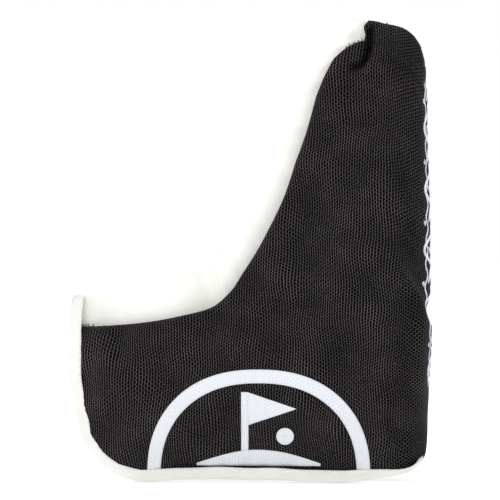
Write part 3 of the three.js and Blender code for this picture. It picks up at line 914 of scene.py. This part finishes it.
def embroidery(back, looks):
    """A satin-stitched stem that winds up the spine over two thin borders, with leaves and berries."""
    surface = surface_of(back, slice(TONGUE, None))
    strokes = wave(0, WAVE_SWAY, WAVES, WAVE_WIDTH)
    strokes += wave(5.6, 0.8, 13, 0.8) + wave(-5.6, 0.8, 13, 0.8)
    bend = (WAVE_TO - WAVE_FROM) / WAVES / 2
    for k in range(2 * WAVES):
        z = WAVE_FROM + bend * (k + 0.5)
        side = 1 if k % 2 == 0 else -1
        strokes += leaf((-side * 2.4, z + 2), side * 0.5, 7.5, 1.9)
        strokes += leaf((-side * 7.2, z - 1.5), 0, 1.8, 1.8)
        strokes += leaf((side * 2.2, z - 0.5), side * 0.9, 5, 1.4)
    lines = satin(surface, strokes, 0.12)
    piece = threads("spine_stitching", lines, 0.17, looks["embroidery"], "root", 5)
    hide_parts("spine_embroidery")


def frayed_ends(front, looks):
    """Loose threads at the near panel's corner by the toe and at the top of its neck."""
    neck = int(np.searchsorted(row_shares(), 0.95))
    edge = outside_of(front)
    for name, first, body, reach in (("frayed_toe", 2, "root", 1.7), ("frayed_neck", neck, "flap", 1.2)):
        lines = []
        for k in range(24):
            start = edge[first + k // 4, RANDOM.integers(1, 4)]
            heading = RANDOM.normal(0, 1, 3) * (0.6, 0.3, 0.5) + (-0.3, -0.5, 0.8)
            bend = RANDOM.normal(0, 1, 3) * 0.7
            share = np.linspace(0, 1, 8)[:, None]
            length = reach * RANDOM.uniform(0.3, 1)
            lines.append(start + length * (unit(heading) * share + bend * share**2 * 0.45))
        threads(name, lines, 0.1, looks["dark_thread"], body, 5)


# ---- The printed emblem ----

EMBLEM_X, EMBLEM_Z = 3.3, 1.9
RING_RADIUS, RING_BAND = 43.2, 5.2
RING_SHAPE = 2.3  # a circle has 2: the print was pressed a little square
PRINT_TURN = 4  # degrees by which the print was laid on off the panel's own square


def film(name, surface, shapes, looks, node):
    """A thin printed film on the front panel. Each shape is a grid of places (x, z)."""
    layers = []
    for shape in shapes:
        found = [[on_panel(surface, x, z) for x, z in row] for row in shape]
        at, out = (np.array([[f[k] for f in row] for row in found]) for k in (0, 1))
        layers.append((at + out * 0.14, at - out * 0.1, shape))
    piece = slabs(name, layers)
    dress(piece, looks["print"])
    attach(piece, "root")
    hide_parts(node)


def polar(centre, radii, angles, shape=2):
    """A grid round a centre. shape is the power of its outline: 2 for a circle, more for a squarer one."""
    angle, radius = np.meshgrid(angles, radii, indexing="ij")
    radius = radius * (np.abs(np.cos(angle)) ** shape + np.abs(np.sin(angle)) ** shape) ** (-1 / shape)
    return np.stack([centre[0] + radius * np.cos(angle), centre[1] + radius * np.sin(angle)], axis=-1)


def between(low, high, x, rows):
    """A grid over a shape that lies between two heights at each x."""
    share = np.linspace(0, 1, rows)
    z = mix(low[:, None], high[:, None], share)
    return np.stack([np.broadcast_to(x[:, None], z.shape), z], axis=-1)


def emblem(front, looks):
    surface = surface_of(front, slice(None))
    start = math.asin(2.6 / (RING_RADIUS - RING_BAND))
    sweep = np.linspace(start, math.pi - start, 150)
    radii = np.linspace(RING_RADIUS - RING_BAND, RING_RADIUS, 6)
    ring = polar((EMBLEM_X, EMBLEM_Z), radii, sweep, RING_SHAPE)
    film("print_ring", surface, [ring], looks, "emblem_ring")
    t = np.linspace(-1, 1, 46)
    mound = between(np.full(46, 7.0), 8 + 5.5 * np.cos(t * math.pi / 2), EMBLEM_X + 24 * t, 7)
    pole_x = np.linspace(-3.4, -0.6, 4)
    pole = between(np.full(4, 13.0), np.full(4, 36.5), pole_x, 22)
    flag_x = np.linspace(-0.9, 17.5, 18)
    drop = np.linspace(0, 1, 18)
    pennant = between(23.5 + 6.5 * drop, 36.5 - 6.3 * drop, flag_x, 10)
    film("print_flag", surface, [mound, pole, pennant], looks, "emblem_flag")
    ball = polar((13.5, 19), np.linspace(0.05, 3.4, 5), np.linspace(0, 2 * math.pi, 37))
    film("print_ball", surface, [ball], looks, "emblem_ball")


# ---- Materials ----


class Shader:
    """A material's node tree, built a few nodes at a time."""

    def __init__(self, name, roughness, sheen=0.0, metallic=0.0, specular=0.5):
        self.material = bpy.data.materials.new(name)
        self.material.use_nodes = True
        self.nodes = self.material.node_tree.nodes
        self.links = self.material.node_tree.links
        self.surface = self.nodes["Principled BSDF"]
        self.surface.inputs["Roughness"].default_value = roughness
        self.surface.inputs["Specular IOR Level"].default_value = specular
        self.surface.inputs["Sheen Weight"].default_value = sheen
        self.surface.inputs["Sheen Roughness"].default_value = 0.5
        self.surface.inputs["Metallic"].default_value = metallic

    def add(self, kind, values=(), **settings):
        node = self.nodes.new(kind)
        for key, value in settings.items():
            setattr(node, key, value)
        for key, value in dict(values).items():
            if isinstance(value, bpy.types.NodeSocket):
                self.links.new(value, node.inputs[key])
            else:
                node.inputs[key].default_value = value
        return node

    def math(self, operation, *values):
        return self.add("ShaderNodeMath", dict(enumerate(values)), operation=operation).outputs[0]

    def plus(self, one, other):
        return self.math("ADD", one, other)

    def times(self, one, other):
        return self.math("MULTIPLY", one, other)

    def minus(self, one, other):
        return self.math("SUBTRACT", one, other)

    def over(self, one, other):
        return self.math("DIVIDE", one, other)

    def weighted(self, one, share, other, other_share):
        return self.plus(self.times(one, share), self.times(other, other_share))

    def place(self):
        """The cloth's own coordinates in mm, across and along its threads."""
        return self.add("ShaderNodeAttribute", attribute_name="weave").outputs["Vector"]

    def here(self):
        """Object coordinates in mm."""
        at = self.add("ShaderNodeTexCoord").outputs["Object"]
        return self.add("ShaderNodeVectorMath", {0: at, "Scale": 1000.0}, operation="SCALE").outputs[0]

    def noise(self, at, per_mm, detail=3.0, scale=(1, 1, 1)):
        scaled = self.add("ShaderNodeMapping", {"Vector": at, "Scale": scale}).outputs[0]
        values = {"Vector": scaled, "Scale": per_mm, "Detail": detail}
        return self.add("ShaderNodeTexNoise", values).outputs["Fac"]

    def ramp(self, value, stops):
        """A colour ramp from (position, colour) stops; a colour is sRGB from 0 to 255."""
        node = self.add("ShaderNodeValToRGB", {"Fac": value})
        while len(node.color_ramp.elements) < len(stops):
            node.color_ramp.elements.new(0.5)
        for element, (position, colour) in zip(node.color_ramp.elements, stops):
            element.position = position
            element.color = (*linear(colour), 1)
        return node.outputs["Color"]

    def finish(self, colour, height=None, depth_mm=0.1, roughness=None):
        self.links.new(colour, self.surface.inputs["Base Color"])
        if roughness is not None:
            self.links.new(roughness, self.surface.inputs["Roughness"])
        if height is not None:
            bump = self.add("ShaderNodeBump", {"Height": height, "Distance": depth_mm * MM, "Strength": 1.0})
            self.links.new(bump.outputs["Normal"], self.surface.inputs["Normal"])
        return self.material


def linear(colour):
    share = np.array(colour, float) / 255
    return np.where(share <= 0.04045, share / 12.92, ((share + 0.055) / 1.055) ** 2.4).tolist()


COLUMN_PITCH, HOLE_PITCH = 1.02, 1.36
SPINE_FROM, SPINE_TO = 62, 96  # the spine in the cloth's own coordinates, mm across the threads


def plateau(shader, value, start, end, soft):
    """1 from start to end, falling to 0 over a soft width outside them."""
    middle, half = (start + end) / 2, (end - start) / 2
    off = shader.math("ABSOLUTE", shader.minus(value, middle))
    over = shader.over(shader.minus(off, half), soft)
    return shader.minus(1.0, shader.add("ShaderNodeClamp", {0: over}).outputs[0])


def weave_height(shader, at):
    """1 on the threads and 0 in the holes: columns of holes, each half a pitch off its neighbours.
    Along the flats the threads up the cover show most, and round the spine those across it."""
    parts = shader.add("ShaderNodeSeparateXYZ", {0: at})
    wander = shader.times(shader.noise(at, 0.35, 1.0), 0.5)
    drift = shader.times(shader.noise(at, 0.035, 1.0), 7.0)
    across = shader.over(shader.plus(parts.outputs[0], shader.plus(wander, drift)), COLUMN_PITCH)
    column = shader.math("FLOOR", across)
    stagger = shader.times(shader.math("PINGPONG", column, 1.0), 0.5)
    lifted = shader.plus(parts.outputs[1], shader.times(shader.noise(at, 0.03, 1.0), 9.0))
    along = shader.plus(shader.over(lifted, HOLE_PITCH), stagger)
    from_side = shader.minus(shader.math("FRACT", across), 0.5)
    from_hole = shader.minus(shader.math("FRACT", along), 0.5)
    flat = shader.math("POWER", shader.math("ABSOLUTE", shader.over(from_side, 0.5)), 2.0)
    tall = shader.math("POWER", shader.math("ABSOLUTE", shader.over(from_hole, 0.5)), 2.0)
    turned = shader.minus(1.0, plateau(shader, parts.outputs[0], SPINE_FROM, SPINE_TO, 8))
    flat = shader.times(flat, shader.plus(0.45, shader.times(turned, 0.55)))
    tall = shader.times(tall, shader.minus(1.05, shader.times(turned, 0.35)))
    distance = shader.math("SQRT", shader.plus(flat, tall))
    return shader.math("MINIMUM", distance, 1.15)


def woven_cloth():
    shader = Shader("woven_cloth", 0.75, sheen=0.01)
    at = shader.place()
    height = weave_height(shader, at)
    fibre = shader.noise(at, 3.5, 3.0, (2.5, 1, 1))
    patchy = shader.noise(at, 0.07, 3.0)
    light = shader.plus(height, shader.times(shader.minus(fibre, 0.5), 0.9))
    light = shader.plus(light, shader.times(shader.minus(patchy, 0.5), 0.25))
    light = shader.over(light, 1.57)
    # The ramp paints highlights on the thread crests and shade down into the holes, on top of the weave's own
    # pale threads and dark gaps.
    colour = shader.ramp(light, [
        (0.25, (0, 0, 0)), (0.42, (7, 6, 6)), (0.56, (25, 22, 23)),
        (0.68, (54, 49, 51)), (0.78, (150, 140, 144)),
    ])
    roughness = shader.plus(shader.times(fibre, 0.25), 0.62)
    shader.links.new(shader.times(height, 0.15), shader.surface.inputs["Specular IOR Level"])
    return shader.finish(colour, light, 0.4, roughness)


def leather(name, pale, shade, grain):
    """Soft coated leather or tape, with fine grain and a faint yellowing where it is handled."""
    shader = Shader(name, 0.5, specular=0.3)
    at = shader.here()
    grains = shader.add("ShaderNodeTexVoronoi", {"Vector": at, "Scale": grain}, feature="SMOOTH_F1")
    pores = grains.outputs["Distance"]
    wear = shader.noise(at, 0.09, 4.0)
    creases = shader.noise(at, 0.5, 4.0)
    colour = shader.ramp(wear, [(0.3, pale), (0.75, shade)])
    height = shader.plus(shader.times(pores, 0.4), creases)
    roughness = shader.plus(shader.times(creases, 0.25), 0.36)
    return shader.finish(colour, height, 0.16, roughness)


def printed():
    """Pale ink that sits on the weave, thinner over its holes."""
    shader = Shader("printed_ink", 0.62)
    at = shader.place()
    height = weave_height(shader, at)
    flecks = shader.noise(at, 2.6, 3.0)
    light = shader.weighted(height, 0.5, flecks, 0.6)
    colour = shader.ramp(light, [(0.2, (186, 191, 198)), (0.42, (207, 211, 217)), (0.8, (219, 223, 229))])
    roughness = shader.plus(shader.times(flecks, 0.2), 0.5)
    return shader.finish(colour, height, 0.1, roughness)


def fleece():
    shader = Shader("fleece_pile", 0.95, sheen=0.35)
    at = shader.here()
    tufts = shader.noise(at, 1.6, 4.0)
    pile = shader.noise(at, 6.0, 3.0)
    height = shader.weighted(tufts, 0.7, pile, 0.4)
    colour = shader.ramp(height, [(0.35, (22, 22, 25)), (0.6, (46, 46, 51)), (0.8, (70, 70, 77))])
    return shader.finish(colour, height, 0.6)


def foam():
    shader = Shader("foam", 0.9)
    at = shader.here()
    cells = shader.add("ShaderNodeTexVoronoi", {"Vector": at, "Scale": 2.2}).outputs["Distance"]
    tint = shader.noise(at, 0.1, 3.0)
    light = shader.weighted(cells, 0.5, tint, 0.5)
    colour = shader.ramp(light, [(0.2, (120, 122, 126)), (0.7, (176, 178, 182))])
    return shader.finish(colour, cells, 0.3)


def elastic():
    shader = Shader("elastic", 0.8, sheen=0.1)
    at = shader.place()
    ribs = shader.add("ShaderNodeTexWave", {"Vector": at, "Scale": 0.45, "Distortion": 0.6}).outputs["Fac"]
    lint = shader.noise(at, 2.0, 3.0)
    light = shader.weighted(ribs, 0.6, lint, 0.4)
    colour = shader.ramp(light, [(0.2, (18, 18, 20)), (0.8, (62, 62, 66))])
    return shader.finish(colour, ribs, 0.25)


def thread(name, dark, pale, gloss):
    """Twisted thread: fine ply lines, and a little colour change from one length to the next."""
    shader = Shader(name, gloss, sheen=0.15)
    at = shader.here()
    ply = shader.noise(at, 4.0, 2.0, (3, 3, 1))
    tint = shader.noise(at, 0.25, 2.0)
    light = shader.weighted(ply, 0.65, tint, 0.35)
    colour = shader.ramp(light, [(0.3, dark), (0.65, pale)])
    roughness = shader.plus(shader.times(ply, 0.2), gloss - 0.1)
    return shader.finish(colour, ply, 0.06, roughness)


def metal(name, dark, pale, roughness):
    shader = Shader(name, roughness, metallic=1.0)
    at = shader.here()
    smudge = shader.noise(at, 0.4, 4.0)
    brushed = shader.noise(at, 1.5, 2.0, (8, 1, 1))
    colour = shader.ramp(smudge, [(0.3, dark), (0.7, pale)])
    rough = shader.plus(shader.times(smudge, 0.3), roughness - 0.1)
    return shader.finish(colour, brushed, 0.03, rough)


def materials():
    return {
        "cloth": woven_cloth(),
        "strip": leather("strip_leather", (237, 236, 232), (232, 231, 225), 1.9),
        "binding": leather("binding_tape", (229, 229, 225), (220, 219, 213), 2.6),
        "print": printed(),
        "fleece": fleece(),
        "foam": foam(),
        "elastic": elastic(),
        "white_thread": thread("white_thread", (216, 216, 212), (248, 248, 245), 0.5),
        "dark_thread": thread("dark_thread", (14, 13, 14), (46, 43, 44), 0.6),
        "embroidery": thread("embroidery_thread", (206, 202, 226), (243, 240, 252), 0.35),
        "magnet": metal("magnet_nickel", (150, 152, 156), (205, 207, 210), 0.25),
        "steel": metal("steel_disc", (120, 122, 126), (176, 178, 182), 0.35),
    }


# ---- Light, floor and camera ----

AIM = (0.0, 0.0, 0.0832)
CAMERA_TURN, CAMERA_RISE, CAMERA_AWAY, LENS = 4.0, 1.5, 1.4, 260


def floor(lowest):
    bpy.ops.mesh.primitive_plane_add(size=6, location=(0, 0, lowest - 0.0002))
    plane = bpy.context.object
    plane.name = "floor"
    paper = Shader("floor_paper", 0.9, specular=0)
    paper.surface.inputs["Emission Color"].default_value = (1, 1, 1, 1)
    paper.surface.inputs["Emission Strength"].default_value = 0.3
    plane.data.materials.append(paper.finish(paper.ramp(paper.noise(paper.here(), 0.002), [
        (0.3, (252, 252, 252)), (0.7, (255, 255, 255)),
    ])))
    return plane


def studio(lowest):
    scene = bpy.context.scene
    scene.view_settings.view_transform = "Standard"
    world = bpy.data.worlds.new("studio")
    scene.world = world
    world.use_nodes = True
    world.node_tree.nodes["Background"].inputs["Color"].default_value = (1, 1, 1, 1)
    world.node_tree.nodes["Background"].inputs["Strength"].default_value = 1.0
    lamp = bpy.data.lights.new("overhead", "AREA")
    lamp.size = 0.9
    lamp.energy = 4.5
    overhead = bpy.data.objects.new("overhead", lamp)
    overhead.location = Vector(AIM) + direction(-25, 62) * 1.3
    overhead.rotation_euler = (Vector(AIM) - overhead.location).to_track_quat("-Z", "Y").to_euler()
    scene.collection.objects.link(overhead)
    camera = bpy.data.objects.new("camera", bpy.data.cameras.new("camera"))
    camera.data.lens = LENS
    camera.data.sensor_width = 36
    camera.location = Vector(AIM) + direction(CAMERA_TURN, CAMERA_RISE) * CAMERA_AWAY
    camera.rotation_euler = (Vector(AIM) - camera.location).to_track_quat("-Z", "Y").to_euler()
    scene.collection.objects.link(camera)
    scene.camera = camera
    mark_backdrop(floor(lowest), overhead)


# ---- Everything together ----


def main():
    looks = materials()
    front, back = panels()
    padded_cloth(front, back, looks)
    white_strip(looks)
    binding(looks)
    emblem(front, looks)
    embroidery(back, looks)
    seam_stitches(back, looks)
    frayed_ends(front, looks)
    for node in ("magnet_foot", "magnet_neck_upper", "magnet_neck_lower"):
        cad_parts[node].data.materials.append(looks["magnet"])
    for node in ("steel_disc_neck_upper", "steel_disc_neck_lower", "steel_disc_foot"):
        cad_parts[node].data.materials.append(looks["steel"])
    studio(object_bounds()[0][2])


main()
